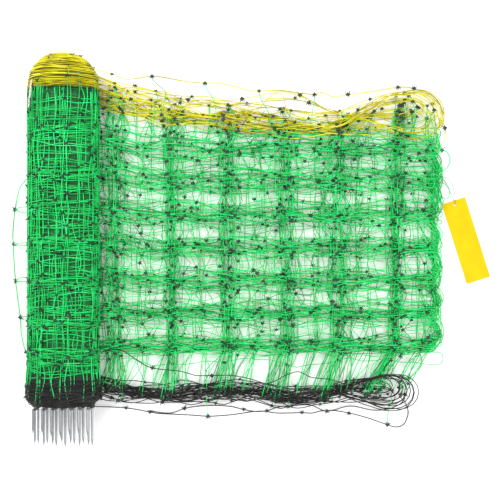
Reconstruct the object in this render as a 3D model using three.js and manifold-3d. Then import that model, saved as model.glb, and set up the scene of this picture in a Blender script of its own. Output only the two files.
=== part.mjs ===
import * as THREE from "three";
import { mergeVertices } from "three/addons/utils/BufferGeometryUtils.js";
import Module from "manifold-3d";

const wasm = await Module();
wasm.setup();

// Electric poultry netting, half rolled round its posts and half folded flat beside them.
// Millimetres. X runs from the roll out along the folds, Y along the posts from the
// spikes to the top line, and Z up from the floor. The roll's axis is at x = 0.

// Left between pieces that touch
const SEAT = 0.3;

// The net's own rows: spacing of the inner lines, and of the two outer bays
const INNER_BAY = 126;
const OUTER_BAY = 156;
const GREEN_LINES = 7;
const STRAND = 2.5;

// The wound net, an oval roll that is this much wider on each side than the row of posts in it
const WOUND_SIDES = 15.8;
const ROLL_HEIGHT = 150;
const BAND_RISE = 3;
const BAND_WIDTH = 44;
const BAND_SLOPE = 12;
const BOTTOM_LINE_Y = -510;
const TOP_SEAM_Y = 563;
const BOTTOM_SEAM_Y = -434;
const DOME_LENGTH = 125;
const BUTT_SWELL = 9;
const BUTT_LENGTH = 40;
const BUTT_Y = -506;
const END_ROUNDNESS = 2.2;
const END_TURNS = 7;
const TURN_GROOVE = 4;
const ROUND_STEPS = 32;

// The posts, in two nested rows, and the steel double spikes in their lower ends
const POSTS = 14;
const POST_DIAMETER = 19;
const POST_PITCH = 15.6;
const POST_TOP_Y = 585;
const POST_CHAMFER = 2;
const SOCKET_DEPTH = 70;
const SPIKE_DIAMETER = 7.5;
const SPIKE_TIP_Y = -680;
const SPIKE_POINT = 22;
const SECOND_SHORTER = 42;
const SECOND_OVER = 10;
const SECOND_UP = 24;
const STEP_BAR = 6;
const SLIP = 7;

// The folded net: three flat stacks that share their edges
const FOLD_UNDER_ROLL = 51;
const FOLD_END_X = 1326;
const END_SLANT = 22;
const SCALLOP = 16;
const FIELD_THICKNESS = 36;
const ROW_THICKNESS = 54;
const ROW_FLAT = 30;
const ROW_SLOPE = 26;
const FOLD_BAY = 116.5;
const FIRST_FOLD_ROW_Y = -344;
const YELLOW_LONGER = 9;
const YELLOW_THICKNESS = 46;
const YELLOW_HALF = 34;
const BLACK_SHORTER = 86;
const BLACK_THICKNESS = 50;
const BLACK_HALF = 38;
const EDGE_ROUNDING = 10;
const EDGE_STEPS = 16;

// The slots between the bunched stays of the folded net, whose stays lean in the lowest bay
const SLOT_PITCH = 100;
const SLOT_FIRST_X = 220;
const SLOT_WIDTH = 24;
const SLOT_EDGE = 9;
const SLOT_END_CLEAR = 90;
const LOWEST_BAY_LEAN = THREE.MathUtils.degToRad(28);

// The card tag and its string
const TAG_WIDTH = 88;
const TAG_LENGTH = 300;
const TAG_THICKNESS = 0.8;
const TAG_TURN = THREE.MathUtils.degToRad(17.5);
const TAG_CORNER = new THREE.Vector2(FOLD_END_X + 12, 164);
const TAG_LIFT = 2;
const TAG_HOLE = 9;
const TAG_HOLE_IN = 15;
const STRING_DIAMETER = 1.2;

// Where the middle of each band of the folded net runs: [share of its length from the roll, y]
const YELLOW_RUN = [[0, 530], [0.17, 500], [0.46, 465], [0.68, 440], [0.81, 476], [0.88, 498], [1, 488]];
const BLACK_RUN = [
  [0, -482], [0.18, -512], [0.49, -506], [0.59, -524], [0.73, -514], [0.83, -500], [1, -504],
];

// Worked out from the above
const POST_RADIUS = POST_DIAMETER / 2;
const ROW_RISE = Math.sqrt(Math.max(0, (POST_DIAMETER + SEAT) ** 2 - POST_PITCH ** 2)) / 2;
const BORE_HALF_WIDTH = ((POSTS - 1) * POST_PITCH) / 2 + POST_RADIUS + SEAT;
const BORE_HALF_HEIGHT = ROW_RISE + POST_RADIUS + SEAT;
const ROLL_MIDDLE_Z = ROLL_HEIGHT / 2;
const BAND_RADIUS = BORE_HALF_WIDTH + WOUND_SIDES;
const GREEN_RADIUS = BAND_RADIUS - BAND_RISE;
const BUTT_RADIUS = BAND_RADIUS + BUTT_SWELL;
const FLATNESS = ROLL_MIDDLE_Z / BAND_RADIUS;
const POST_BOTTOM_Y = BUTT_Y - BUTT_LENGTH;
const FOLD_START_X = BAND_RADIUS - FOLD_UNDER_ROLL;

function solidFrom(geometry) {
  geometry.deleteAttribute("normal");
  geometry.deleteAttribute("uv");
  const merged = mergeVertices(geometry, 1e-4);
  return new wasm.Manifold(
    new wasm.Mesh({
      numProp: 3,
      vertProperties: merged.attributes.position.array,
      triVerts: new Uint32Array(merged.index.array),
    }),
  );
}

function geometryFrom(solid) {
  const mesh = solid.getMesh();
  const geometry = new THREE.BufferGeometry();
  geometry.setAttribute("position", new THREE.BufferAttribute(mesh.vertProperties, 3));
  geometry.setIndex(new THREE.BufferAttribute(mesh.triVerts, 1));
  geometry.computeVertexNormals();
  return geometry;
}

const netting = new THREE.Group();

function addPiece(name, solid, material) {
  const mesh = new THREE.Mesh(geometryFrom(solid), material);
  mesh.name = name;
  netting.add(mesh);
  return mesh;
}

function plastic(colour, roughness) {
  return new THREE.MeshStandardMaterial({ color: colour, roughness, metalness: 0 });
}

const yellowLine = plastic(0xdcc81e, 0.5);
const greenLine = plastic(0x1fae55, 0.5);
const blackLine = plastic(0x2a2626, 0.5);
const postPlastic = plastic(0x25362b, 0.4);
const cardYellow = plastic(0xf6cf0a, 0.6);
const stringBlack = plastic(0x151515, 0.8);
const galvanised = new THREE.MeshStandardMaterial({ color: 0xb9bcbc, roughness: 0.35, metalness: 1 });

// A strand of the net that hangs out of it, as a thin tube along a smooth curve
function looseStrand(points, steps) {
  const section = new THREE.Shape();
  section.absarc(0, 0, STRAND / 2, 0, 2 * Math.PI);
  const path = new THREE.CatmullRomCurve3(points.map((p) => new THREE.Vector3(...p)));
  return solidFrom(
    new THREE.ExtrudeGeometry(section, { extrudePath: path, steps, curveSegments: 3 }),
  );
}

// A solid turned about the roll's axis from [radius, y] points, and flattened to its oval
function ovalTurned(profile) {
  const points = profile.map(([radius, y]) => new THREE.Vector2(radius, y));
  const turned = new THREE.LatheGeometry(points, ROUND_STEPS);
  turned.scale(1, 1, FLATNESS);
  turned.translate(0, 0, ROLL_MIDDLE_Z);
  return solidFrom(turned);
}

// Where the net's lines lie along the roll, from the bottom green line up
const rollRows = [];
for (let line = 0; line < GREEN_LINES; line += 1) {
  rollRows.push(BOTTOM_LINE_Y + OUTER_BAY + line * INNER_BAY);
}

// The rounded end of the roll, from its rim to the axis, grooved between its turns
function endProfile(rimRadius, rimY, length) {
  const profile = [];
  for (let step = 0; step < 2 * END_TURNS; step += 1) {
    const angle = (step / (2 * END_TURNS)) * (Math.PI / 2);
    const along = Math.sin(angle);
    const radius = rimRadius * Math.sqrt(1 - along ** END_ROUNDNESS);
    const groove = step % 2 ? TURN_GROOVE : 0;
    profile.push([radius - groove, rimY + length * along - Math.sign(length) * groove * along]);
  }
  profile.push([0, rimY + length]);
  return profile;
}

// The slot that the posts lie in, which fits round their two nested rows
function postBore(fromY, toY) {
  const corner = POST_RADIUS + SEAT;
  const wide = BORE_HALF_WIDTH - corner;
  const high = BORE_HALF_HEIGHT - corner;
  const outline = new THREE.Shape();
  outline.absarc(wide, high, corner, 0, Math.PI / 2);
  outline.absarc(-wide, high, corner, Math.PI / 2, Math.PI);
  outline.absarc(-wide, -high, corner, Math.PI, 1.5 * Math.PI);
  outline.absarc(wide, -high, corner, 1.5 * Math.PI, 2 * Math.PI);
  const bore = new THREE.ExtrudeGeometry(outline, {
    depth: toY - fromY,
    bevelEnabled: false,
    curveSegments: 5,
  });
  bore.rotateX(Math.PI / 2);
  bore.translate(0, toY, ROLL_MIDDLE_Z);
  return solidFrom(bore);
}

const bore = postBore(BUTT_Y - 2 * BUTT_LENGTH, POST_TOP_Y + SEAT);

// The wound yellow top line, whose turns close over the tops of the posts
const topTurns = ovalTurned([
  [0, TOP_SEAM_Y + SEAT / 2],
  ...endProfile(GREEN_RADIUS, TOP_SEAM_Y + SEAT / 2, DOME_LENGTH),
]);
addPiece("netting_roll_top", topTurns.subtract(bore), yellowLine);

// The wound green mesh, a little thicker at each of its lines, with one stay that hangs out
const greenProfile = [[0, BOTTOM_SEAM_Y + SEAT / 2], [GREEN_RADIUS, BOTTOM_SEAM_Y + SEAT / 2]];
for (const row of rollRows) {
  greenProfile.push([GREEN_RADIUS, row - BAND_WIDTH / 2]);
  greenProfile.push([BAND_RADIUS, row - BAND_WIDTH / 2 + BAND_SLOPE]);
  greenProfile.push([BAND_RADIUS, row + BAND_WIDTH / 2 - BAND_SLOPE]);
  greenProfile.push([GREEN_RADIUS, row + BAND_WIDTH / 2]);
}
greenProfile.push([GREEN_RADIUS, TOP_SEAM_Y - SEAT / 2], [0, TOP_SEAM_Y - SEAT / 2]);
// Its points are in [half widths of the roll, bays up from the lowest green line, roll heights]
const hangingStay = looseStrand(
  [
    [0.71, 4.9, 0.4], [1.16, 4.75, 0.27], [1.42, 4.5, 0.1], [1.54, 3.96, 0.03], [1.59, 3, 0.02],
    [1.53, 1.9, 0.02], [1.39, 0.9, 0.05], [1.2, 0.1, 0.2], [0.71, -0.3, 0.4],
  ].map(([out, bays, up]) => [-BAND_RADIUS * out, rollRows[0] + bays * INNER_BAY, ROLL_HEIGHT * up]),
  26,
);
const greenTurns = ovalTurned(greenProfile).subtract(bore);
addPiece("netting_roll_field", greenTurns.add(hangingStay.subtract(bore)), greenLine);

// The wound black bottom line, which the spikes come out of and which is flat on the floor
const buttTurns = ovalTurned([
  ...endProfile(BUTT_RADIUS, BUTT_Y, -BUTT_LENGTH).reverse(),
  [BUTT_RADIUS, (BUTT_Y + BOTTOM_SEAM_Y) / 2],
  [GREEN_RADIUS, BOTTOM_SEAM_Y - SEAT / 2],
  [0, BOTTOM_SEAM_Y - SEAT / 2],
]);
const aboveFloor = new THREE.BoxGeometry(4 * BUTT_RADIUS, 2 * -BOTTOM_LINE_Y, 2 * ROLL_HEIGHT);
aboveFloor.translate(0, BOTTOM_LINE_Y, ROLL_HEIGHT);
addPiece("netting_roll_bottom", buttTurns.intersect(solidFrom(aboveFloor)).subtract(bore), blackLine);

// The posts: the odd ones lie in the lower row and the even ones nest between them
function postPlace(index) {
  return {
    x: (index - (POSTS - 1) / 2) * POST_PITCH,
    z: ROLL_MIDDLE_Z + (index % 2 ? ROW_RISE : -ROW_RISE),
    upper: index % 2 === 1,
    slip: SLIP * Math.sin(2.4 * index),
  };
}

function turned(profile, sides) {
  return new THREE.LatheGeometry(
    profile.map(([radius, y]) => new THREE.Vector2(radius, y)),
    sides,
  );
}

function post() {
  const hole = SPIKE_DIAMETER / 2 + SEAT;
  return solidFrom(
    turned(
      [
        [0, POST_BOTTOM_Y + SOCKET_DEPTH],
        [hole, POST_BOTTOM_Y + SOCKET_DEPTH],
        [hole, POST_BOTTOM_Y],
        [POST_RADIUS - POST_CHAMFER, POST_BOTTOM_Y],
        [POST_RADIUS, POST_BOTTOM_Y + POST_CHAMFER],
        [POST_RADIUS, POST_TOP_Y - POST_CHAMFER],
        [POST_RADIUS - POST_CHAMFER, POST_TOP_Y],
        [0, POST_TOP_Y],
      ],
      12,
    ),
  );
}

// A double spike: a long spike in the post, a step bar, and a shorter spike beside it
function doubleSpike(place) {
  const radius = SPIKE_DIAMETER / 2;
  const tip = SPIKE_TIP_Y + place.slip;
  const shoulder = POST_BOTTOM_Y - SEAT - STEP_BAR;
  const main = solidFrom(
    turned(
      [
        [0, tip],
        [radius, tip + SPIKE_POINT],
        [radius, POST_BOTTOM_Y + SOCKET_DEPTH - SEAT],
        [0, POST_BOTTOM_Y + SOCKET_DEPTH - SEAT],
      ],
      8,
    ),
  );
  const secondTip = tip + SECOND_SHORTER;
  const over = -SECOND_OVER;
  const up = place.upper ? SECOND_UP : -SECOND_UP;
  const second = turned(
    [
      [0, secondTip],
      [radius, secondTip + SPIKE_POINT],
      [radius, shoulder + STEP_BAR],
      [0, shoulder + STEP_BAR],
    ],
    8,
  );
  second.translate(over, 0, up);
  const bar = new THREE.BoxGeometry(Math.hypot(over, up), STEP_BAR, STEP_BAR);
  bar.rotateY(-Math.atan2(up, over));
  bar.translate(over / 2, shoulder + STEP_BAR / 2, up / 2);
  return main.add(solidFrom(second)).add(solidFrom(bar));
}

for (let index = 0; index < POSTS; index += 1) {
  const place = postPlace(index);
  const number = String(index + 1).padStart(2, "0");
  const rod = addPiece("post_" + number, post(), postPlastic);
  const spike = addPiece("double_spike_" + number, doubleSpike(place), galvanised);
  rod.position.set(place.x, 0, place.z);
  spike.position.set(place.x, 0, place.z);
}

// The bands along the fold's two edges, and which way is out of the fold from each
const yellowBand = {
  run: YELLOW_RUN,
  endX: FOLD_END_X + YELLOW_LONGER,
  half: YELLOW_HALF,
  thickness: YELLOW_THICKNESS,
  outward: 1,
};
const blackBand = {
  run: BLACK_RUN,
  endX: FOLD_END_X - BLACK_SHORTER,
  half: BLACK_HALF,
  thickness: BLACK_THICKNESS,
  outward: -1,
};

function bandX(band, share) {
  return FOLD_START_X + share * (band.endX - FOLD_START_X);
}

// The middle of a band at a share of its length
function bandY(band, share) {
  const next = Math.max(1, band.run.findIndex(([at]) => at >= Math.min(share, 1)));
  const [from, fromY] = band.run[next - 1];
  const [to, toY] = band.run[next];
  return THREE.MathUtils.mapLinear(share, from, to, fromY, toY);
}

// A smooth line beside the middle of a band, as evenly spaced points
function bandLine(band, offset) {
  const middles = band.run.map(([share, y]) => new THREE.Vector2(bandX(band, share), y));
  const curve = new THREE.SplineCurve(middles);
  return curve.getPoints(EDGE_STEPS).map((p) => new THREE.Vector2(p.x, p.y + offset));
}

// A band of the folded net, with rounded edges
function foldedBand(band) {
  const lower = bandLine(band, -band.half);
  const upper = bandLine(band, band.half).reverse();
  const outline = new THREE.Shape([...lower, ...upper]);
  const stack = new THREE.ExtrudeGeometry(outline, {
    depth: band.thickness - 2 * EDGE_ROUNDING,
    bevelThickness: EDGE_ROUNDING,
    bevelSize: EDGE_ROUNDING,
    bevelOffset: -EDGE_ROUNDING,
    bevelSegments: 2,
  });
  stack.translate(0, 0, EDGE_ROUNDING);
  return solidFrom(stack);
}

// A strand that has slipped out of a band. Its points are in shares of the band's length, its
// half widths out from its middle, and its thickness up from the floor
function slippedStrand(band, points, steps) {
  return looseStrand(
    points.map(([share, out, up]) => [
      bandX(band, share),
      bandY(band, share) + band.outward * band.half * out,
      band.thickness * up,
    ]),
    steps,
  );
}

// The roll's outer form, a little larger, which the folded net stops short of
const rollSpace = ovalTurned([
  [0, BUTT_Y - BUTT_LENGTH],
  [BUTT_RADIUS + SEAT, BUTT_Y - BUTT_LENGTH],
  [BUTT_RADIUS + SEAT, BOTTOM_SEAM_Y],
  [BAND_RADIUS + 2 * SEAT, BOTTOM_SEAM_Y],
  [BAND_RADIUS + 2 * SEAT, TOP_SEAM_Y + YELLOW_HALF],
  [0, TOP_SEAM_Y + YELLOW_HALF],
]);

const foldRows = [];
for (let line = 0; line < GREEN_LINES; line += 1) {
  foldRows.push(FIRST_FOLD_ROW_Y + line * FOLD_BAY);
}

// The outline of the folded green mesh, between the two bands, whose bays bulge at its far end
function fieldOutline() {
  const lower = bandLine(blackBand, BLACK_HALF + SEAT);
  const upper = bandLine(yellowBand, -YELLOW_HALF - SEAT).reverse();
  const outline = new THREE.Shape(lower);
  const lowest = foldRows[0] - FOLD_BAY / 2;
  const highest = foldRows[GREEN_LINES - 1] + FOLD_BAY / 2;
  const endX = (y) => FOLD_END_X - (END_SLANT * (highest - y)) / (highest - lowest);
  outline.lineTo(endX(lowest), lowest);
  outline.lineTo(endX(foldRows[0]), foldRows[0]);
  for (const row of foldRows.slice(0, -1)) {
    const middle = row + FOLD_BAY / 2;
    const next = row + FOLD_BAY;
    outline.quadraticCurveTo(endX(middle) + 2 * SCALLOP, middle, endX(next), next);
  }
  outline.quadraticCurveTo(endX(highest) + SCALLOP, highest, upper[0].x, upper[0].y);
  for (const p of upper.slice(1)) outline.lineTo(p.x, p.y);
  return outline;
}

// The height of the folded mesh along Y: its lines and knots stack higher than its bays
function rowsProfile() {
  const profile = new THREE.Shape();
  profile.moveTo(2 * BOTTOM_LINE_Y, 0);
  profile.lineTo(2 * BOTTOM_LINE_Y, FIELD_THICKNESS);
  for (const row of foldRows) {
    profile.lineTo(row - ROW_FLAT / 2 - ROW_SLOPE, FIELD_THICKNESS);
    profile.lineTo(row - ROW_FLAT / 2, ROW_THICKNESS);
    profile.lineTo(row + ROW_FLAT / 2, ROW_THICKNESS);
    profile.lineTo(row + ROW_FLAT / 2 + ROW_SLOPE, FIELD_THICKNESS);
  }
  profile.lineTo(2 * TOP_SEAM_Y, FIELD_THICKNESS);
  profile.lineTo(2 * TOP_SEAM_Y, 0);
  return profile;
}

// A slot through the folded mesh from one y to another, which leans away from the roll
function slot(x, fromY, toY, lean) {
  const opening = new THREE.BoxGeometry(SLOT_WIDTH, toY - fromY, 3 * ROW_THICKNESS);
  opening.rotateZ(-lean);
  opening.translate(x, (fromY + toY) / 2, 0);
  return solidFrom(opening);
}

// The slots of one column: one in the lowest bay, and one between each two green lines
function slotColumn(x) {
  const rowHalf = (ROW_FLAT + ROW_SLOPE) / 2;
  const share = (x - FOLD_START_X) / (blackBand.endX - FOLD_START_X);
  const bandEdge = bandY(blackBand, share) + BLACK_HALF + SLOT_EDGE;
  const column = [slot(x, bandEdge, foldRows[0] - rowHalf, LOWEST_BAY_LEAN)];
  for (const row of foldRows.slice(0, -1)) {
    column.push(slot(x, row + rowHalf, row + FOLD_BAY - rowHalf, 0));
  }
  return column;
}

function foldedField() {
  const flat = new THREE.ExtrudeGeometry(fieldOutline(), {
    depth: ROW_THICKNESS + SEAT,
    bevelEnabled: false,
    curveSegments: 6,
  });
  const rows = new THREE.ExtrudeGeometry(rowsProfile(), {
    depth: 2 * FOLD_END_X,
    bevelEnabled: false,
  });
  // The profile's own x and y become Y and Z, and its depth runs along X
  const across = new THREE.Matrix4().makeBasis(
    new THREE.Vector3(0, 1, 0),
    new THREE.Vector3(0, 0, 1),
    new THREE.Vector3(1, 0, 0),
  );
  rows.applyMatrix4(across);
  let field = solidFrom(flat).intersect(solidFrom(rows)).subtract(rollSpace);
  for (let x = SLOT_FIRST_X; x < FOLD_END_X - SLOT_END_CLEAR; x += SLOT_PITCH) {
    for (const opening of slotColumn(x)) field = field.subtract(opening);
  }
  return field;
}

// The outermost turn of the top line, and the outermost of the bottom line, which ends in a loop
const yellowStrand = slippedStrand(
  yellowBand,
  [
    [0.033, 0.2, 0.45], [0.038, 1.75, 0.35], [0.055, 2.75, 0.2], [0.1, 3.05, 0.1], [0.175, 3.7, 0.08],
    [0.326, 3.5, 0.08], [0.48, 3.25, 0.08], [0.64, 3.45, 0.08], [0.734, 3, 0.08], [0.802, 2.75, 0.1],
    [0.876, 2.5, 0.13], [0.921, 2.45, 0.17], [0.961, 1.9, 0.22], [0.99, 1.1, 0.3], [0.998, 0.25, 0.45],
    [0.98, -0.25, 0.5],
  ],
  60,
);
const blackStrand = slippedStrand(
  blackBand,
  [
    [0.046, 0.25, 0.4], [0.066, 1.3, 0.2], [0.11, 1.75, 0.08], [0.184, 1.8, 0.08], [0.26, 2, 0.08],
    [0.363, 2.25, 0.08], [0.504, 1.9, 0.08], [0.572, 1.65, 0.08], [0.729, 1.7, 0.08], [0.796, 2.1, 0.08],
    [0.85, 2.6, 0.08], [0.915, 3.25, 0.08], [0.942, 3.45, 0.08], [0.966, 3.15, 0.08], [0.978, 2.3, 0.1],
    [0.977, 1.65, 0.16], [0.96, 0.9, 0.32], [0.94, 0.3, 0.48],
  ],
  70,
);

// A green strand that loops out of the far end. Its points are in scallops beyond the end, bays
// up from its line, and the thickness of the mesh up from the floor
function endLoop(line, points) {
  return looseStrand(
    points.map(([beyond, bays, up]) => [
      FOLD_END_X + SCALLOP * beyond,
      foldRows[line] + FOLD_BAY * bays,
      FIELD_THICKNESS * up,
    ]),
    20,
  );
}

const upperLoop = endLoop(GREEN_LINES - 1, [
  [-2.3, 0, 0.55], [0.7, 0.06, 0.22], [2.1, -0.04, 0.11], [2.6, -0.21, 0.08], [1.9, -0.51, 0.08],
  [-0.5, -0.64, 0.33], [-2.3, -0.64, 0.55],
]);
const lowerLoop = endLoop(1, [
  [-3.2, 0.34, 0.55], [0, 0.33, 0.22], [1.4, 0.17, 0.11], [1.8, -0.07, 0.08], [1, -0.31, 0.11],
  [-0.5, -0.4, 0.28], [-3.2, -0.38, 0.55],
]);

addPiece("netting_fold_top", foldedBand(yellowBand).subtract(rollSpace).add(yellowStrand), yellowLine);
addPiece("netting_fold_field", foldedField().add(upperLoop).add(lowerLoop), greenLine);
addPiece("netting_fold_bottom", foldedBand(blackBand).subtract(rollSpace).add(blackStrand), blackLine);

// The card tag lies beside the folds, turned a little, on the string through its hole
const tagAcross = new THREE.Vector2(Math.cos(TAG_TURN), Math.sin(TAG_TURN));
const tagDown = new THREE.Vector2(Math.sin(TAG_TURN), -Math.cos(TAG_TURN));
function onTag(across, down) {
  return new THREE.Vector2(
    TAG_CORNER.x + across * tagAcross.x + down * tagDown.x,
    TAG_CORNER.y + across * tagAcross.y + down * tagDown.y,
  );
}

const card = new THREE.Shape([
  new THREE.Vector2(0, 0),
  new THREE.Vector2(0, -TAG_LENGTH),
  new THREE.Vector2(TAG_WIDTH, -TAG_LENGTH),
  new THREE.Vector2(TAG_WIDTH, 0),
]);
const cardHole = new THREE.Path();
cardHole.absarc(TAG_WIDTH / 2, -TAG_HOLE_IN, TAG_HOLE / 2, 0, 2 * Math.PI);
card.holes.push(cardHole);
const cardPlate = new THREE.ExtrudeGeometry(card, {
  depth: TAG_THICKNESS,
  bevelEnabled: false,
  curveSegments: 8,
});
cardPlate.rotateZ(TAG_TURN);
cardPlate.translate(TAG_CORNER.x, TAG_CORNER.y, TAG_LIFT);
addPiece("hang_tag", solidFrom(cardPlate), cardYellow);

// The string leaves the folds, passes down through the tag's hole and comes back beneath it.
// Its points are measured from the hole, and from the floor
const hole = onTag(TAG_WIDTH / 2, TAG_HOLE_IN);
const STRING_ROUTE = [
  [-52, 99.1, 9], [-42, 98.6, 8.6], [-32, 97, 7.2], [-22, 91, 5], [-14, 81, 3.4], [-8.5, 69, 2.6],
  [-4, 55, 3], [-1.4, 41, 4.8], [-0.4, 26, 6.1], [0, 10, 6.6], [0, 3, 6.3], [0, 0.6, 5.4], [0, -0.3, 3.65],
  [0, 0.6, 1.9], [-0.3, 3, 1], [-2, 10, 0.9], [-6.4, 26, 0.9], [-13.4, 42, 0.9], [-22, 57, 1.4],
  [-31, 69, 3.4], [-42, 77, 5.6], [-59.7, 81.5, 7.4],
];
const stringPath = new THREE.CatmullRomCurve3(
  STRING_ROUTE.map(([x, y, z]) => new THREE.Vector3(hole.x + x, hole.y + y, z)),
);
const stringSection = new THREE.Shape();
stringSection.absarc(0, 0, STRING_DIAMETER / 2, 0, 2 * Math.PI);
addPiece(
  "tag_string",
  solidFrom(
    new THREE.ExtrudeGeometry(stringSection, {
      extrudePath: stringPath,
      steps: 64,
      curveSegments: 4,
    }),
  ),
  stringBlack,
);

// The part's origin is under the middle of the netting and posts, without the tag and string
const reach = new THREE.Box3();
for (const piece of netting.children) {
  if (piece.name !== "hang_tag" && piece.name !== "tag_string") reach.expandByObject(piece);
}
const middle = reach.getCenter(new THREE.Vector3());
netting.position.set(-middle.x, -middle.y, -reach.min.z);

const part = new THREE.Group();
part.add(netting);
export default part;
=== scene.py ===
import math

import bpy
import numpy as np
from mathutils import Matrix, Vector


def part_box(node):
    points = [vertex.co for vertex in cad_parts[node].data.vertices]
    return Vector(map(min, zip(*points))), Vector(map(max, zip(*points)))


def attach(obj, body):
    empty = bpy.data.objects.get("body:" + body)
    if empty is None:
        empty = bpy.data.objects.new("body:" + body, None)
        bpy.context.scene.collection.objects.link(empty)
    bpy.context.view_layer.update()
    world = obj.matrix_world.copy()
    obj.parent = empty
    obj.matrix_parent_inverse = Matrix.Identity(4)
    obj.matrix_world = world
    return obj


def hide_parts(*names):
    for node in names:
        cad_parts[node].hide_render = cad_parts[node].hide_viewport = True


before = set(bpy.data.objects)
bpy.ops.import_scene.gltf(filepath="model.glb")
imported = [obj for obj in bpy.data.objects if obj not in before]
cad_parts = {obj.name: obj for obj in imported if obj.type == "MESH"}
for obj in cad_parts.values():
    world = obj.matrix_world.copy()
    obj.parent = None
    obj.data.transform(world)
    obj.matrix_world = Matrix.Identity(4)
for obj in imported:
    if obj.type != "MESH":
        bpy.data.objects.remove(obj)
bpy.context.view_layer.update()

# Electric poultry netting. Lengths are millimetres in the roll's own layout, with x = 0 on the
# roll's axis, until `placed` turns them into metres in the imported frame.
LINES = 9
YELLOW, BLACK = 8, 0
INNER_BAY, OUTER_BAY = 126.0, 156.0
STAY_PITCH = 200.0
STRAND = 3.2

ROLL_HALF_WIDTH, ROLL_HALF_HEIGHT = 127.0, 75.0
BOTTOM_LINE_Y = -510.0
TOP_SEAM_Y, BOTTOM_SEAM_Y = 563.0, -434.0
DOME_LENGTH, DOME_RADIUS = 123.0, 123.0
BUTT_Y, BUTT_LENGTH, BUTT_RADIUS = -506.0, 38.0, 134.0
END_ROUNDNESS = 2.2

LAYERS = 34
FOLD_START_X, FOLD_END_X = 78.0, 1326.0
END_SLANT = 22.0
FOLD_BAY = 116.5
FIRST_FOLD_ROW_Y = -344.0
YELLOW_RUN = [(76, 530), (290, 500), (650, 465), (930, 440), (1090, 476), (1180, 498), (1335, 488)]
BLACK_RUN = [(76, -482), (290, -512), (650, -506), (760, -524), (930, -514), (1040, -500), (1240, -504)]

TAG_CORNER = np.array([FOLD_END_X + 12, 164.0])
TAG_TURN = math.radians(17.5)
TAG_HOLE = np.array([44.0, -15.0])
STRING_DIAMETER = 1.2
STRING_ROUTE = [
    (-52, 99.1, 9), (-42, 98.6, 8.6), (-32, 97, 7.2), (-22, 91, 5), (-14, 81, 3.4), (-8.5, 69, 2.6),
    (-4, 55, 3), (-1.4, 41, 4.8), (-0.4, 26, 6.1), (0, 10, 6.6), (0, 3, 6.3), (0, 0.6, 5.4), (0, -0.3, 3.65),
    (0, 0.6, 1.9), (-0.3, 3, 1), (-2, 10, 0.9), (-6.4, 26, 0.9), (-13.4, 42, 0.9), (-22, 57, 1.4),
    (-31, 69, 3.4), (-42, 77, 5.6), (-59.7, 81.5, 7.4),
]

FLOOR_CLEAR = 1.6
rng = np.random.default_rng(20417)

roll_low, roll_high = (np.array(c) * 1000 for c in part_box("netting_roll_top"))
field_low, field_high = (np.array(c) * 1000 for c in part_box("netting_roll_field"))
ORIGIN = np.array([
    (roll_low[0] + roll_high[0]) / 2,
    field_low[1] - BOTTOM_SEAM_Y,
    0.0,
])


def placed(points):
    """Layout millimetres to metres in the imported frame."""
    return (np.asarray(points, float) + ORIGIN) / 1000


# Camera: straight above the folds, as in the photograph
CAMERA_HEIGHT = 2200.0
FRAME_WIDTH_AT_FLOOR = 1800.0
VIEW_CENTRE_X, VIEW_CENTRE_Y = 648.5, 0.0
PHOTO_SIDE = 500

camera_data = bpy.data.cameras.new("camera")
camera_data.sensor_fit = "HORIZONTAL"
camera_data.angle = 2 * math.atan(FRAME_WIDTH_AT_FLOOR / 2 / CAMERA_HEIGHT)
camera = bpy.data.objects.new("camera", camera_data)
bpy.context.scene.collection.objects.link(camera)
camera.location = placed([VIEW_CENTRE_X, VIEW_CENTRE_Y, CAMERA_HEIGHT])
bpy.context.scene.camera = camera


def seen(pixels, z):
    """The layout points at these heights that the camera shows at these pixels of the photograph."""
    pixels = np.asarray(pixels, float)
    scale = FRAME_WIDTH_AT_FLOOR / PHOTO_SIDE * (CAMERA_HEIGHT - z) / CAMERA_HEIGHT
    x = (pixels[:, 0] - PHOTO_SIDE / 2) * scale + VIEW_CENTRE_X
    y = (PHOTO_SIDE / 2 - pixels[:, 1]) * scale + VIEW_CENTRE_Y
    return np.stack([x, y, z], 1)


def smooth_path(points, step):
    """A Catmull-Rom curve through the points, with a ring about every step."""
    p = np.asarray(points, float)
    p = np.vstack([2 * p[0] - p[1], p, 2 * p[-1] - p[-2]])
    pieces = []
    for a, b, c, d in zip(p[:-3], p[1:-2], p[2:-1], p[3:]):
        count = max(1, int(round(np.linalg.norm(c - b) / step)))
        t = (np.arange(count) / count)[:, None]
        pieces.append(0.5 * (
            2 * b + (c - a) * t + (2 * a - 5 * b + 4 * c - d) * t**2 + (3 * b - a - 3 * c + d) * t**3
        ))
    pieces.append(p[-2][None])
    return np.vstack(pieces)


# The tag's string, which leaves the fold, passes through the tag's hole and goes back to the fold
def tag_string():
    turn = np.array([[math.cos(TAG_TURN), -math.sin(TAG_TURN)], [math.sin(TAG_TURN), math.cos(TAG_TURN)]])
    hole = np.append(TAG_CORNER + turn @ TAG_HOLE, 0)
    line = placed(smooth_path(np.array(STRING_ROUTE) + hole, 1.2))
    curve = bpy.data.curves.new("elastic_tag_string", "CURVE")
    curve.dimensions = "3D"
    curve.bevel_depth = STRING_DIAMETER / 2000
    curve.bevel_resolution = 3
    curve.use_fill_caps = True
    spline = curve.splines.new("POLY")
    spline.points.add(len(line) - 1)
    for point, place in zip(spline.points, line):
        point.co = (*place, 1)
    made = bpy.data.objects.new("elastic_tag_string", curve)
    bpy.context.scene.collection.objects.link(made)
    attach(made, "root")
    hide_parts("tag_string")
    return made


string = tag_string()


# Materials
def node_tree(name):
    material = bpy.data.materials.new(name)
    material.use_nodes = True
    nodes, links = material.node_tree.nodes, material.node_tree.links
    shader = nodes["Principled BSDF"]
    return material, nodes, links, shader


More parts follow.
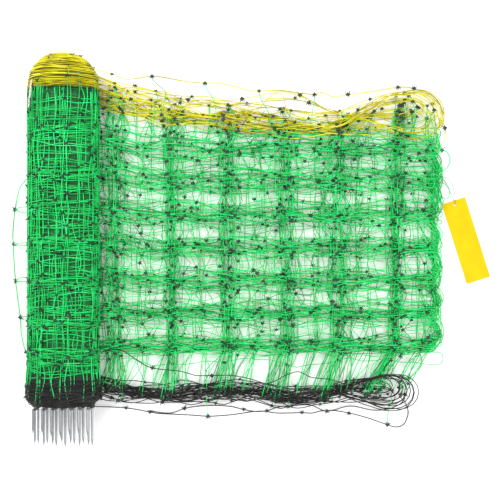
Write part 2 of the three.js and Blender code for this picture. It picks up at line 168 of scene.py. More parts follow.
def math_node(nodes, links, operation, a, b=None):
    node = nodes.new("ShaderNodeMath")
    node.operation = operation
    for socket, value in zip(node.inputs, (a, b)):
        if value is None:
            continue
        if isinstance(value, (int, float)):
            socket.default_value = value
        else:
            links.new(value, socket)
    return node.outputs[0]


def ramp(nodes, links, factor, stops):
    node = nodes.new("ShaderNodeValToRGB")
    links.new(factor, node.inputs[0])
    elements = node.color_ramp.elements
    while len(elements) > len(stops):
        elements.remove(elements[-1])
    while len(elements) < len(stops):
        elements.new(0.5)
    for element, (position, colour) in zip(elements, stops):
        element.position = position
        element.color = (*colour, 1)
    return node.outputs[0]


def mixed(nodes, links, factor, a, b):
    node = nodes.new("ShaderNodeMix")
    node.data_type = "RGBA"
    for socket, value in ((node.inputs[0], factor), (node.inputs[6], a), (node.inputs[7], b)):
        if isinstance(value, (int, float)):
            socket.default_value = value
        elif isinstance(value, tuple):
            socket.default_value = (*value, 1)
        else:
            links.new(value, socket)
    return node.outputs[2]


def noise(nodes, links, vector, scale, detail=2.0):
    node = nodes.new("ShaderNodeTexNoise")
    node.inputs["Scale"].default_value = scale
    node.inputs["Detail"].default_value = detail
    links.new(vector, node.inputs["Vector"])
    return node.outputs["Fac"]


def object_place(nodes):
    return nodes.new("ShaderNodeTexCoord").outputs["Object"]


def bumped(nodes, links, shader, height, strength, distance):
    node = nodes.new("ShaderNodeBump")
    node.inputs["Strength"].default_value = strength
    node.inputs["Distance"].default_value = distance
    links.new(height, node.inputs["Height"])
    links.new(node.outputs[0], shader.inputs["Normal"])


PLIES = 3
TWISTS_PER_METRE = 110.0


def strand_material(name, dark, plain, light, filament, roughness):
    """Twisted twine: its plies run round it, with a thin filament between two of them."""
    material, nodes, links, shader = node_tree(name)
    uv = nodes.new("ShaderNodeUVMap")
    uv.uv_map = "Strand"
    split = nodes.new("ShaderNodeSeparateXYZ")
    links.new(uv.outputs[0], split.inputs[0])
    along, round_it = split.outputs[0], split.outputs[1]
    turns = math_node(nodes, links, "MULTIPLY_ADD", along, TWISTS_PER_METRE)
    links.new(round_it, turns.node.inputs[2])
    ply = math_node(nodes, links, "MULTIPLY", turns, 2 * math.pi * PLIES)
    ply = math_node(nodes, links, "SINE", ply)
    ply = math_node(nodes, links, "MULTIPLY_ADD", ply, 0.5)
    ply.node.inputs[2].default_value = 0.5
    tone = noise(nodes, links, object_place(nodes), 17.0, 3.0)
    own = nodes.new("ShaderNodeTexNoise")
    own.noise_dimensions = "1D"
    own.inputs["Scale"].default_value = 2.3
    own.inputs["Detail"].default_value = 1.0
    links.new(along, own.inputs["W"])
    both = math_node(nodes, links, "ADD", tone, own.outputs["Fac"])
    both = math_node(nodes, links, "MULTIPLY", both, 0.5)
    colour = ramp(nodes, links, both, [(0.36, dark), (0.5, plain), (0.64, light)])
    # The filament stripe follows the twist, in a colour given for each twine. On the green twine it is a real
    # steel thread painted light green as its glint: a painted highlight.
    thread = math_node(nodes, links, "MULTIPLY", turns, 2 * math.pi)
    thread = math_node(nodes, links, "COSINE", thread)
    thread = math_node(nodes, links, "GREATER_THAN", thread, 0.9)
    thread = math_node(nodes, links, "MULTIPLY", thread, 0.7)
    colour = mixed(nodes, links, thread, colour, filament)
    links.new(colour, shader.inputs["Base Color"])
    shader.inputs["Roughness"].default_value = roughness
    shader.inputs["Specular IOR Level"].default_value = 0.22
    bumped(nodes, links, shader, ply, 0.5, 0.0004)
    return material


# The green twine's light filament stripe is a painted highlight, the glint of its steel wire.
green = strand_material(
    "green_twine", (0.0, 0.30, 0.05), (0.0, 0.69, 0.11), (0.02, 0.88, 0.23), (0.20, 0.84, 0.40), 0.5)
yellow = strand_material(
    "yellow_twine", (0.36, 0.33, 0.0), (0.72, 0.70, 0.004), (0.92, 0.90, 0.08), (0.60, 0.26, 0.01), 0.5)
black = strand_material(
    "black_twine", (0.006, 0.006, 0.006), (0.015, 0.012, 0.012), (0.045, 0.04, 0.04), (0.09, 0.08, 0.08), 0.5)
tie_white = strand_material(
    "tie_cord", (0.50, 0.48, 0.40), (0.78, 0.76, 0.68), (0.90, 0.88, 0.80), (0.52, 0.10, 0.03), 0.6)


def knot_material():
    material, nodes, links, shader = node_tree("knot_plastic")
    place = object_place(nodes)
    tone = noise(nodes, links, place, 60.0, 2.0)
    colour = ramp(nodes, links, tone, [(0.35, (0.004, 0.012, 0.007)), (0.65, (0.02, 0.055, 0.032))])
    links.new(colour, shader.inputs["Base Color"])
    shader.inputs["Roughness"].default_value = 0.45
    bumped(nodes, links, shader, noise(nodes, links, place, 900.0, 1.0), 0.4, 0.0004)
    return material


def core_material(name, dark, light):
    """The inner turns, which only show between the outer strands. The green and yellow ones below are painted
    darker than their twine: painted shade deep in the roll.
    """
    material, nodes, links, shader = node_tree(name)
    place = object_place(nodes)
    stretch = nodes.new("ShaderNodeMapping")
    stretch.inputs["Scale"].default_value = (3, 40, 3)
    links.new(place, stretch.inputs["Vector"])
    turns = noise(nodes, links, stretch.outputs[0], 6.0, 4.0)
    colour = ramp(nodes, links, turns, [(0.35, dark), (0.7, light)])
    links.new(colour, shader.inputs["Base Color"])
    shader.inputs["Roughness"].default_value = 0.7
    bumped(nodes, links, shader, turns, 0.9, 0.004)
    return material


def steel_material():
    material, nodes, links, shader = node_tree("galvanised_steel")
    place = object_place(nodes)
    stretch = nodes.new("ShaderNodeMapping")
    stretch.inputs["Scale"].default_value = (1, 0.08, 1)
    links.new(place, stretch.inputs["Vector"])
    drawn = noise(nodes, links, stretch.outputs[0], 900.0, 3.0)
    spangle = nodes.new("ShaderNodeTexVoronoi")
    spangle.inputs["Scale"].default_value = 260.0
    links.new(place, spangle.inputs["Vector"])
    tone = math_node(nodes, links, "ADD", drawn, spangle.outputs["Distance"])
    colour = ramp(nodes, links, tone, [(0.3, (0.09, 0.093, 0.096)), (1.0, (0.36, 0.37, 0.38))])
    links.new(colour, shader.inputs["Base Color"])
    shader.inputs["Metallic"].default_value = 1.0
    rough = math_node(nodes, links, "MULTIPLY_ADD", tone, 0.14)
    rough.node.inputs[2].default_value = 0.22
    links.new(rough, shader.inputs["Roughness"])
    bumped(nodes, links, shader, drawn, 0.2, 0.0003)
    return material


def post_material():
    material, nodes, links, shader = node_tree("post_plastic")
    place = object_place(nodes)
    tone = noise(nodes, links, place, 45.0, 3.0)
    colour = ramp(nodes, links, tone, [(0.3, (0.006, 0.014, 0.009)), (0.7, (0.02, 0.045, 0.03))])
    links.new(colour, shader.inputs["Base Color"])
    shader.inputs["Roughness"].default_value = 0.42
    bumped(nodes, links, shader, noise(nodes, links, place, 700.0, 2.0), 0.15, 0.0003)
    return material


def card_material():
    material, nodes, links, shader = node_tree("tag_card")
    place = object_place(nodes)
    tone = noise(nodes, links, place, 22.0, 3.0)
    colour = ramp(nodes, links, tone, [(0.3, (0.82, 0.53, 0.001)), (0.7, (0.88, 0.60, 0.002))])
    links.new(colour, shader.inputs["Base Color"])
    shader.inputs["Roughness"].default_value = 0.6
    shader.inputs["Specular IOR Level"].default_value = 0.15
    bumped(nodes, links, shader, noise(nodes, links, place, 1400.0, 3.0), 0.12, 0.0002)
    return material


def string_material():
    material, nodes, links, shader = node_tree("elastic_string")
    place = object_place(nodes)
    braid = nodes.new("ShaderNodeTexVoronoi")
    braid.inputs["Scale"].default_value = 1300.0
    links.new(place, braid.inputs["Vector"])
    stops = [(0.1, (0.004, 0.004, 0.004)), (0.7, (0.03, 0.03, 0.03))]
    colour = ramp(nodes, links, braid.outputs["Distance"], stops)
    links.new(colour, shader.inputs["Base Color"])
    shader.inputs["Roughness"].default_value = 0.75
    bumped(nodes, links, shader, braid.outputs["Distance"], 0.5, 0.0004)
    return material


knot_dark = knot_material()
# Painted shade: the green and yellow cores are much darker than their twine, for the shade between the deep
# turns. The black core keeps the black twine's dark colour.
core_green_painted_shade = core_material("inner_green_turns_painted_shade", (0.0, 0.05, 0.01), (0.001, 0.20, 0.035))
core_yellow_painted_shade = core_material("inner_yellow_turns_painted_shade", (0.05, 0.05, 0.0), (0.28, 0.26, 0.004))
core_black = core_material("inner_black_turns", (0.004, 0.004, 0.004), (0.02, 0.03, 0.022))
steel = steel_material()
post_dark = post_material()
card = card_material()
string.data.materials.append(string_material())


# Meshes from arrays
def unit(v):
    return v / np.maximum(np.linalg.norm(v, axis=-1, keepdims=True), 1e-9)


class Bundle:
    """Strands and small bodies that become one joined mesh."""

    def __init__(self, sides=4):
        self.sides = sides
        self.points, self.faces, self.uvs = [], [], []
        self.count = 0

    def add(self, points, faces, uvs):
        self.points.append(points)
        self.faces.append(faces + self.count)
        self.uvs.append(uvs)
        self.count += len(points)

    def strand(self, path, radius=STRAND / 2, upright=(0, 0, 1)):
        """A strand along a path of layout points, with its length and its turn as UVs."""
        path = np.asarray(path, float)
        n, k = len(path), self.sides
        tangent = unit(np.gradient(path, axis=0))
        side = unit(np.cross(tangent, np.asarray(upright, float)))
        up = np.cross(side, tangent)
        turn = np.arange(k) / k * 2 * np.pi + np.pi / k
        ring = (side[:, None] * np.cos(turn)[None, :, None] + up[:, None] * np.sin(turn)[None, :, None])
        points = (path[:, None] + radius * ring).reshape(-1, 3)
        i, s = np.meshgrid(np.arange(n - 1), np.arange(k), indexing="ij")
        nxt = (s + 1) % k
        faces = np.stack([i * k + s, (i + 1) * k + s, (i + 1) * k + nxt, i * k + nxt], -1).reshape(-1, 4)
        along = np.concatenate([[0], np.cumsum(np.linalg.norm(np.diff(path, axis=0), axis=1))]) / 1000
        along = along + rng.integers(0, 400)
        u = np.stack([along[i], along[i + 1], along[i + 1], along[i]], -1)
        v = np.stack([s, s, s + 1, s + 1], -1) / k
        uvs = np.stack([u, v], -1).reshape(-1, 4, 2)
        ends = np.array(cap(0, k, 1) + cap((n - 1) * k, k, -1))
        self.add(points, np.vstack([faces, ends]), np.vstack([uvs, np.zeros((len(ends), 4, 2)) + along[0]]))

    def copies(self, template, places, turns, sizes):
        """Copies of a template at places, each with its own turn matrix and size."""
        points, faces = template
        n, m = len(places), len(points)
        all_points = np.einsum("nij,mj->nmi", turns, points) * sizes[:, None, None] + places[:, None]
        all_faces = faces[None] + (np.arange(n) * m)[:, None, None]
        count = n * len(faces)
        self.add(all_points.reshape(-1, 3), all_faces.reshape(-1, 4), np.zeros((count, 4, 2)))

    def mesh(self, name, material):
        points = placed(np.vstack(self.points))
        faces = np.vstack(self.faces).astype(np.int32)
        uvs = np.vstack(self.uvs).astype(np.float32)
        mesh = bpy.data.meshes.new(name)
        mesh.vertices.add(len(points))
        mesh.vertices.foreach_set("co", points.astype(np.float32).ravel())
        mesh.loops.add(faces.size)
        mesh.loops.foreach_set("vertex_index", faces.ravel())
        mesh.polygons.add(len(faces))
        mesh.polygons.foreach_set("loop_start", np.arange(0, faces.size, 4, dtype=np.int32))
        mesh.polygons.foreach_set("use_smooth", np.ones(len(faces), bool))
        layer = mesh.uv_layers.new(name="Strand")
        layer.data.foreach_set("uv", uvs.ravel())
        mesh.update()
        mesh.materials.append(material)
        made = bpy.data.objects.new(name, mesh)
        bpy.context.scene.collection.objects.link(made)
        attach(made, "root")
        return made


def cap(first, sides, order):
    """A flat end of a ring, in quads."""
    return [
        [first + s, first + s + 1, first + sides - 2 - s, first + sides - 1 - s][::order]
        for s in range(sides // 2 - 1)
    ]


def spindle(axis, stations, radii, sides=6, offset=(0, 0, 0)):
    """A small closed body of rings along one axis, all in quads."""
    axis = np.asarray(axis, float)
    axis = axis / np.linalg.norm(axis)
    helper = np.array([0, 0, 1.0]) if abs(axis[2]) < 0.9 else np.array([1.0, 0, 0])
    side = unit(np.cross(axis, helper))
    up = np.cross(side, axis)
    turn = np.arange(sides) / sides * 2 * np.pi
    rings = [
        np.asarray(offset) + axis * s + r * (np.cos(turn)[:, None] * side + np.sin(turn)[:, None] * up)
        for s, r in zip(stations, radii)
    ]
    faces = []
    for i in range(len(stations) - 1):
        for s in range(sides):
            t = (s + 1) % sides
            faces.append([i * sides + s, (i + 1) * sides + s, (i + 1) * sides + t, i * sides + t])
    faces += cap(0, sides, 1) + cap((len(stations) - 1) * sides, sides, -1)
    return np.vstack(rings), np.array(faces)


def joined(*bodies):
    """Several bodies as one."""
    points, faces, count = [], [], 0
    for p, f in bodies:
        points.append(p)
        faces.append(f + count)
        count += len(p)
    return np.vstack(points), np.vstack(faces)


# A knot lies along its line (x) and its stay (y), with the cut tails of the twine
KNOT = joined(
    spindle((1, 0, 0), (-6.5, -3.5, 3.5, 6.5), (1.5, 2.8, 2.8, 1.5)),
    spindle((0, 1, 0), (-6.0, -2.5, 2.5, 6.0), (1.4, 3.0, 3.0, 1.4)),
    spindle((0.6, 1, 0.35), (0, 10), (1.2, 0.9), 4, (2, 1, 0)),
    spindle((-0.9, 1, 0.5), (0, 9), (1.2, 0.8), 4, (-2, 0, 0.5)),
)


class Knots:
    """Knots that become one joined mesh."""

    def __init__(self):
        self.places, self.turns, self.sizes = [], [], []

    def tie(self, place, along, out, size=1.0):
        """A knot at a place, whose line runs along, and whose upper side faces out."""
        along = np.asarray(along, float)
        along = along / np.linalg.norm(along)
        out = np.asarray(out, float) + rng.normal(0, 0.25, 3)
        out = unit(out - along * (out @ along))
        across = np.cross(out, along)
        flip = -1 if rng.random() < 0.5 else 1
        self.places.append(place)
        self.turns.append(np.stack([along * flip, across * flip, out], 1))
        self.sizes.append(size * rng.uniform(0.85, 1.2))

    def mesh(self, name):
        bundle = Bundle()
        bundle.copies(KNOT, np.array(self.places), np.array(self.turns), np.array(self.sizes))
        made = bundle.mesh(name, knot_dark)
        return made


def wander(amplitude, wavelength):
    """A smooth seeded wave of one variable."""
    phases = rng.uniform(0, 2 * np.pi, 3)
    lengths = wavelength * np.array([1.0, 0.53, 0.29]) * rng.uniform(0.85, 1.15, 3)
    sizes = amplitude * np.array([1.0, 0.45, 0.2])

    def wave(x):
        x = np.asarray(x, float)[..., None]
        return (sizes * np.sin(2 * np.pi * x / lengths + phases)).sum(-1)

    return wave


def run_at(run, x):
    xs, ys = np.array(run, float).T
    dense = smooth_path(np.stack([xs, ys, 0 * xs], 1), 20)
    return np.interp(x, dense[:, 0], dense[:, 1])


def ease(t):
    t = np.clip(t, 0, 1)
    return t * t * (3 - 2 * t)


# The roll
FIRST_ROLL_ROW_Y = BOTTOM_LINE_Y + OUTER_BAY
TOP_LINE_Y = 558.0
roll_line_y = np.array(
    [BOTTOM_LINE_Y] + [FIRST_ROLL_ROW_Y + i * INNER_BAY for i in range(LINES - 2)] + [TOP_LINE_Y])

# The outer turns: how deep they lie, and how far they and their lines are out of place
SHOWN_WRAPS = 32
WRAP_STEP, OUTERMOST_DEPTH = 0.55, 1.3
WRAP_SHIFT, WRAP_TILT, ROLL_LINE_SHIFT = 20, 12, 26
FULL_TURN = 2 * np.pi * 1.02
NEXT_WRAP = 2 * np.pi * 1.13

# The yellow turns of the top, and the black turns round the lower side and over the butt
TOP_TURNS, SIDE_TURNS, BUTT_TURNS = 50, 28, 18
BLACK_SIDE = (-532, -446)


def flank_radius(y):
    """How wide the roll is at a place along it, on the outside of its turns."""
    y = np.asarray(y, float)
    up = np.clip((y - TOP_SEAM_Y) / DOME_LENGTH, 0, 1)
    down = np.clip((BUTT_Y - y) / BUTT_LENGTH, 0, 1)
    dome = DOME_RADIUS * np.sqrt(np.maximum(0, 1 - up**END_ROUNDNESS))
    butt = BUTT_RADIUS * np.sqrt(np.maximum(0, 1 - down**END_ROUNDNESS))
    swell = ROLL_HALF_WIDTH - 2.5 + (BUTT_RADIUS - ROLL_HALF_WIDTH) * ease((BOTTOM_SEAM_Y + 20 - y) / 60)
    return np.where(y > TOP_SEAM_Y, np.minimum(dome, swell), np.where(y < BUTT_Y, butt, swell))


DEPTH_AT_SIDES = 0.3


def on_roll(theta, y, depth=0.0):
    """A place on the roll, at an angle round it and a depth below its outside."""
    radius = flank_radius(y)
    flat = ROLL_HALF_HEIGHT / ROLL_HALF_WIDTH
    x = (radius - DEPTH_AT_SIDES * depth) * np.cos(theta)
    z = ROLL_HALF_HEIGHT + (radius * flat - depth) * np.sin(theta)
    return np.stack([x, y + 0 * x, np.maximum(z, FLOOR_CLEAR)], -1)


def oval_girth(a, b):
    """Ramanujan's length of an oval with these half axes."""
    return math.pi * (3 * (a + b) - math.sqrt((3 * a + b) * (a + 3 * b)))


STAYS_IN_TURN = int(round(oval_girth(ROLL_HALF_WIDTH, ROLL_HALF_HEIGHT) / STAY_PITCH))

roll_green = Bundle()
roll_yellow = Bundle()
roll_black = Bundle()
roll_tie_cord = Bundle(6)
roll_knots = Knots()


def wound_stay(at, depth, line_y):
    """One stay of a wound turn, with its knots at the lines."""
    drift = np.cumsum(rng.normal(0, 0.035, LINES))
    angles, ys = [], []
    for j in range(LINES):
        angle = at + drift[j]
        y = float(line_y(j, angle))
        if j == YELLOW:
            y = min(y + rng.uniform(0, 90), TOP_SEAM_Y + 0.85 * DOME_LENGTH)
        if j == BLACK:
            y = max(y, BUTT_Y - 0.6 * BUTT_LENGTH)
        else:
            ys.append((ys[-1] + y) / 2)
        angles.append(angle)
        ys.append(y)
        if j < LINES - 1:
            angles.append(angle + rng.normal(0, 0.06))
    path = on_roll(np.array(angles), np.array(ys), depth)
    roll_green.strand(smooth_path(path, 20))
    for angle, place in zip(angles[::2], path[::2]):
        normal = np.array([math.cos(angle) * 0.6, 0, math.sin(angle)])
        tangent = np.array([-math.sin(angle), 0, math.cos(angle) * 0.6])
        roll_knots.tie(place, tangent, normal)


def wound_net():
    """The outer turns of the net, from deep to shallow, with their lines, stays and knots."""
    start = rng.uniform(0, 2 * np.pi)
    for wrap in range(SHOWN_WRAPS):
        depth = (SHOWN_WRAPS - 1 - wrap) * WRAP_STEP + OUTERMOST_DEPTH
        shift = rng.normal(0, WRAP_SHIFT)
        tilt, tilt_at = rng.normal(0, WRAP_TILT), rng.uniform(0, 2 * np.pi)
        line_shift = rng.normal(0, ROLL_LINE_SHIFT, LINES)
        line_shift[YELLOW - 1] += rng.uniform(-40, 105)
        line_shift[1] -= rng.uniform(-30, 40)
        waves = [wander(5.0, 2.4) for _ in range(LINES)]

        def line_y(j, theta):
            return roll_line_y[j] + shift + line_shift[j] + tilt * np.cos(theta - tilt_at) + waves[j](theta)

        theta = start + np.linspace(0, FULL_TURN, 44)
        for j in range(1, YELLOW):
            path = on_roll(theta, line_y(j, theta), depth + 0.8 * np.sin(3 * theta + j))
            roll_green.strand(smooth_path(path, 15), upright=(0, 1, 0))
        for i in range(STAYS_IN_TURN):
            at = start + (i + rng.uniform(-0.2, 0.2)) * 2 * np.pi / STAYS_IN_TURN
            wound_stay(at, depth - 1.2, line_y)
        start += NEXT_WRAP


def wound_top():
    """The yellow turns over the posts' tops."""
    for wrap in range(TOP_TURNS):
        t = (wrap + 0.5) / TOP_TURNS
        height = DOME_LENGTH * (math.sin(t * math.pi / 2) ** 1.15) * 0.97
        theta = rng.uniform(0, 2 * np.pi) + np.linspace(0, FULL_TURN, 40)
        tilt, tilt_at = rng.normal(0, 5.0) * (1 - 0.7 * t), rng.uniform(0, 2 * np.pi)
        wave = wander(2.5 * (1 - 0.6 * t), 2.2)
        y = TOP_SEAM_Y - 6 + height + tilt * np.cos(theta - tilt_at) + wave(theta)
        y = np.minimum(y, TOP_SEAM_Y + 0.985 * DOME_LENGTH)
        path = on_roll(theta, y, rng.uniform(0.5, 7) * (1 - 0.5 * t))
        roll_yellow.strand(smooth_path(path, 14), upright=(0, 1, 0))


def wound_bottom():
    """The black turns round the posts' lower ends."""
    for wrap in range(SIDE_TURNS + BUTT_TURNS):
        theta = rng.uniform(0, 2 * np.pi) + np.linspace(0, FULL_TURN, 42)
        tilt, tilt_at = rng.normal(0, 7), rng.uniform(0, 2 * np.pi)
        wave = wander(4, 2.2)
        if wrap < SIDE_TURNS:
            y = rng.uniform(*BLACK_SIDE) + tilt * np.cos(theta - tilt_at) + wave(theta)
            depth = rng.uniform(0.5, 9)
            path = on_roll(theta, np.maximum(y, BUTT_Y - 0.8 * BUTT_LENGTH), depth)
        else:
            share = 0.5 + 0.46 * (wrap - SIDE_TURNS) / BUTT_TURNS
            y = BUTT_Y - BUTT_LENGTH * share + 0.2 * tilt * np.cos(theta - tilt_at) + 0.3 * wave(theta)
            path = on_roll(theta, np.maximum(y, BUTT_Y - 0.985 * BUTT_LENGTH), rng.uniform(0.5, 3))
        roll_black.strand(smooth_path(path, 14), upright=(0, 1, 0))


CORE_SIDES = 64


def loft(name, stations, inset, material):
    """A closed oval core under the outer turns."""
    around = np.linspace(0, 2 * np.pi, CORE_SIDES, endpoint=False)
    rings = []
    for y in stations:
        bump = 1.2 * np.sin(5 * around + y / 23) + 0.8 * np.sin(11 * around - y / 9)
        rings.append(on_roll(around, np.full(CORE_SIDES, float(y)), inset + bump))
    points = np.vstack(rings)
    faces = []
    for i in range(len(stations) - 1):
        here, there = i * CORE_SIDES, (i + 1) * CORE_SIDES
        for s in range(CORE_SIDES):
            t = (s + 1) % CORE_SIDES
            faces.append([here + s, here + t, there + t, there + s])
    faces += cap(0, CORE_SIDES, -1) + cap((len(stations) - 1) * CORE_SIDES, CORE_SIDES, 1)
    bundle = Bundle()
    bundle.add(points, np.array(faces), np.zeros((len(faces), 4, 2)))
    return bundle.mesh(name, material)


# The fold
fold_green_low = Bundle()
fold_green_high = Bundle()
fold_stays = Bundle()
fold_yellow = Bundle(6)
fold_black = Bundle(6)
fold_knots_low = Knots()
fold_knots_high = Knots()

# The middles of the green lines, whose numbers lie between those of the black and yellow lines
fold_line_y = np.array([0.0] + [FIRST_FOLD_ROW_Y + i * FOLD_BAY for i in range(LINES - 2)] + [0.0])

# How much each pass adds to the pile, which is squeezed between the roll and the floor
LAYER_RISE = {YELLOW: 1.2, BLACK: 1.3}
GREEN_RISE = 1.45
ROLL_CLEAR, FULL_PILE_ROOM = 3.0, 52.0


def line_middle(j, x):
    """Where line j of the folded net runs, on average, at a distance from the roll."""
    if j == YELLOW:
        return run_at(YELLOW_RUN, x)
    if j == BLACK:
        return run_at(BLACK_RUN, x)
    near = ease((300 - x) / 220)
    return fold_line_y[j] * (1 - near) + roll_line_y[j] * 0.98 * near


def pile_height(layer, x, j):
    """The height of a layer in the pile, which thins out under the roll."""
    height = FLOOR_CLEAR + layer * LAYER_RISE.get(j, GREEN_RISE)
    inside = np.clip(np.abs(x) / ROLL_HALF_WIDTH, 0, 1)
    roof = ROLL_HALF_HEIGHT * (1 - np.sqrt(1 - inside**2))
    under = np.clip((roof - ROLL_CLEAR) / FULL_PILE_ROOM, 0.1, 1)
    squeeze = np.where(x < ROLL_HALF_WIDTH + 14, under, 1)
    return np.maximum(height * squeeze, FLOOR_CLEAR)


# How loosely the passes of each line lie over each other: the upper rows spread the most
LINE_SPREAD = np.array([17, 20, 17, 16, 17, 19, 28, 30, 22])
PASS_SPREAD = 12
EDGE_SPREAD_LIMIT = 2

# The yellow line rises towards the roll, and some of its passes do so more
TOP_LIFT, TOP_LIFT_START_X, TOP_LIFT_LENGTH = 66, 420, 360


class Layer:
    """One pass of the net across the fold, from the roll to its far edge."""

    def __init__(self, index):
        self.index = index
        self.shift = rng.normal(0, PASS_SPREAD)
        self.line_shift = rng.normal(0, 1, LINES) * LINE_SPREAD
        self.lift = rng.uniform(0, 1) ** 2 * TOP_LIFT
        for j in (YELLOW, BLACK):
            limit = EDGE_SPREAD_LIMIT * LINE_SPREAD[j]
            self.line_shift[j] = np.clip(rng.normal(0, LINE_SPREAD[j]), -limit, limit) - self.shift
        self.waves = [wander(11.0, 430) for _ in range(LINES)]
        self.fine = [wander(2.4, 130) for _ in range(LINES)]

    def y(self, j, x):
        y = line_middle(j, x) + self.shift + self.line_shift[j] + self.waves[j](x) + self.fine[j](x)
        if j == YELLOW:
            y = y + self.lift * ease((TOP_LIFT_START_X - x) / TOP_LIFT_LENGTH)
        return y

    def z(self, j, x):
        return pile_height(self.index, x, j) + 0.4 * self.fine[j](x + 333)


layers = [Layer(k) for k in range(LAYERS)]


def end_x(y):
    """Where the green mesh turns back, at a place along the fold's far end."""
    low, high = fold_line_y[1] - FOLD_BAY / 2, fold_line_y[YELLOW - 1] + FOLD_BAY / 2
    return FOLD_END_X - END_SLANT * (high - y) / (high - low)


TURN_POINTS = 9


def half_oval(reach, middle, half, depth, first_z, last_z):
    """The turn in which a strand goes back, from its upper side to its lower side."""
    angle = np.linspace(np.pi / 2, -np.pi / 2, TURN_POINTS)
    x = reach - depth + depth * np.cos(angle)
    return np.stack([x, middle + half * np.sin(angle), np.linspace(first_z, last_z, TURN_POINTS)], 1)


# The ovals into which the edge lines fan out at the far end: their middle, their smallest and
# largest half width, how far these two reach, and the length in which the passes spread
FANS = {
    YELLOW: (484, 8, 92, 1230, 1343, 340),
    BLACK: (-500, 8, 66, 1120, 1244, 260),
}


def folded_edge(j, bundle):
    """The passes of the top or bottom line, in pairs that end in an oval."""
    middle, smallest, largest, nearest, furthest, spread_length = FANS[j]
    for pair in range(LAYERS // 2):
        upper, lower = layers[2 * pair], layers[2 * pair + 1]
        size = (pair + rng.uniform(0, 1)) * 2 / LAYERS
        half = smallest + (largest - smallest) * size
        reach = min(nearest + (furthest - nearest) * size + rng.normal(0, 7), furthest + 3)
        depth = 18 + 0.85 * half
        centre = middle + rng.normal(0, 6 + 14 * (1 - size))
        xs = np.arange(FOLD_START_X, reach - depth - 12, 40)
        fan = ease((xs - (reach - depth - spread_length)) / spread_length)
        sides = []
        for layer, side in ((upper, 1), (lower, -1)):
            y = layer.y(j, xs) * (1 - fan) + (centre + side * half) * fan + layer.fine[j](xs) * fan
            sides.append(np.stack([xs, y, layer.z(j, xs)], 1))
        turn = half_oval(reach, centre, half, depth, sides[0][-1, 2], sides[1][-1, 2])
        bundle.strand(smooth_path(np.vstack([sides[0], turn, sides[1][::-1]]), 18))


LINE_STEP, LINE_TURN_DEPTH, LEAST_LINE_TURN = 46, 14, 7


def folded_lines():
    """The passes of the green lines, in pairs that turn back at the far end."""
    for pair in range(LAYERS // 2):
        out, back = layers[2 * pair], layers[2 * pair + 1]
        bundle = fold_green_low if pair < LAYERS // 4 else fold_green_high
        for j in range(1, YELLOW):
            reach = end_x(fold_line_y[j]) + rng.normal(-8, 12)
            xs = np.arange(FOLD_START_X, reach - LINE_TURN_DEPTH - 10, LINE_STEP)
            there = np.stack([xs, out.y(j, xs), out.z(j, xs)], 1)
            home = np.stack([xs, back.y(j, xs), back.z(j, xs)], 1)
            a, b = there[-1], home[-1]
            half = max(abs(a[1] - b[1]) / 2, LEAST_LINE_TURN)
            turn = half_oval(reach, (a[1] + b[1]) / 2, half, LINE_TURN_DEPTH, a[2], b[2])
            if a[1] < b[1]:
                turn[:, :2] = turn[::-1, :2].copy()
            bundle.strand(smooth_path(np.vstack([there, turn, home[::-1]]), 23))


STAYS_WITHOUT_LOOP = 0.35


def end_loops():
    """Slack of the outermost stays, which bulges out of the far end between two lines."""
    for layer in layers:
        for j in range(1, YELLOW - 1):
            if rng.random() < STAYS_WITHOUT_LOOP:
                continue
            inner = rng.uniform(12, 60)
            x = end_x(0) - inner
            low, high = (np.array([x, float(layer.y(k, x)), 0]) for k in (j, j + 1))
            bulge = inner + rng.uniform(-10, 24)
            points = np.array([low + (high - low) * t for t in (0, 0.12, 0.38, 0.7, 1)])
            points[:, 0] += bulge * np.array([0, 0.72, 1, 0.6, 0])
            height = pile_height(layer.index, x, j)
            points[:, 2] = np.maximum(height * np.array([1, 0.8, 0.65, 0.75, 1]), FLOOR_CLEAR)
            fold_stays.strand(smooth_path(points, 13))


BLACK_DRAWN_IN = 0.925
COLUMN_SPREAD, STAY_LEAN, EDGE_KNOT_SPREAD = 15, 7, 24
MOST_BOW = 34


def stay_x(j, x):
    """How a stay leans: the black line is drawn in towards the roll, and pulls stays with it."""
    if j == BLACK:
        return FOLD_START_X + (x - FOLD_START_X) * BLACK_DRAWN_IN
    return x


def stay_places(layer, base):
    """Where a stay crosses each line of its pass."""
    lean = np.cumsum(rng.normal(0, STAY_LEAN, LINES))
    places = []
    for j in range(LINES):
        x = float(stay_x(j, base + lean[j]))
        if j in (YELLOW, BLACK):
            x += rng.normal(0, EDGE_KNOT_SPREAD)
        x = min(x, float(end_x(fold_line_y[1])) - 4)
        places.append(np.array([x, float(layer.y(j, x)), float(layer.z(j, x)) + 1.2]))
    return places


def slack_place(j, a, b):
    """Where a stay is halfway from line j to the next, drawn aside by the length it has to spare."""
    apart = np.linalg.norm(b - a)
    real = OUTER_BAY if j in (BLACK, YELLOW - 1) else INNER_BAY
    slack = math.sqrt(max(0.0, 3 * real * (real - apart) / 8))
    bow = min(slack, MOST_BOW) * rng.choice((-1, 1)) * rng.uniform(0.3, 0.95)
    middle = (a + b) / 2
    middle[0] += bow
    middle[2] = max(FLOOR_CLEAR, middle[2] * rng.uniform(0.45, 0.85))
    return middle


def folded_stays():
    """The stays of the folded passes, which lie in columns because each pass starts in step."""
    for layer in layers:
        k = layer.index
        knots = fold_knots_low if k < LAYERS // 2 else fold_knots_high
        position = 170 + (k % 2) * STAY_PITCH / 2 + rng.normal(0, 9) - STAY_PITCH / 2 * (k % 4 == 1)
        while position < FOLD_END_X - 18:
            places = stay_places(layer, position + rng.normal(0, COLUMN_SPREAD))
            controls = [places[0]]
            for j, (a, b) in enumerate(zip(places, places[1:])):
                controls += [slack_place(j, a, b), b]
            fold_stays.strand(smooth_path(controls, 22))
            for place in places:
                knots.tie(place - [0, 0, 0.4], (1, rng.normal(0, 0.12), 0), (0, 0, 1))
            position += STAY_PITCH


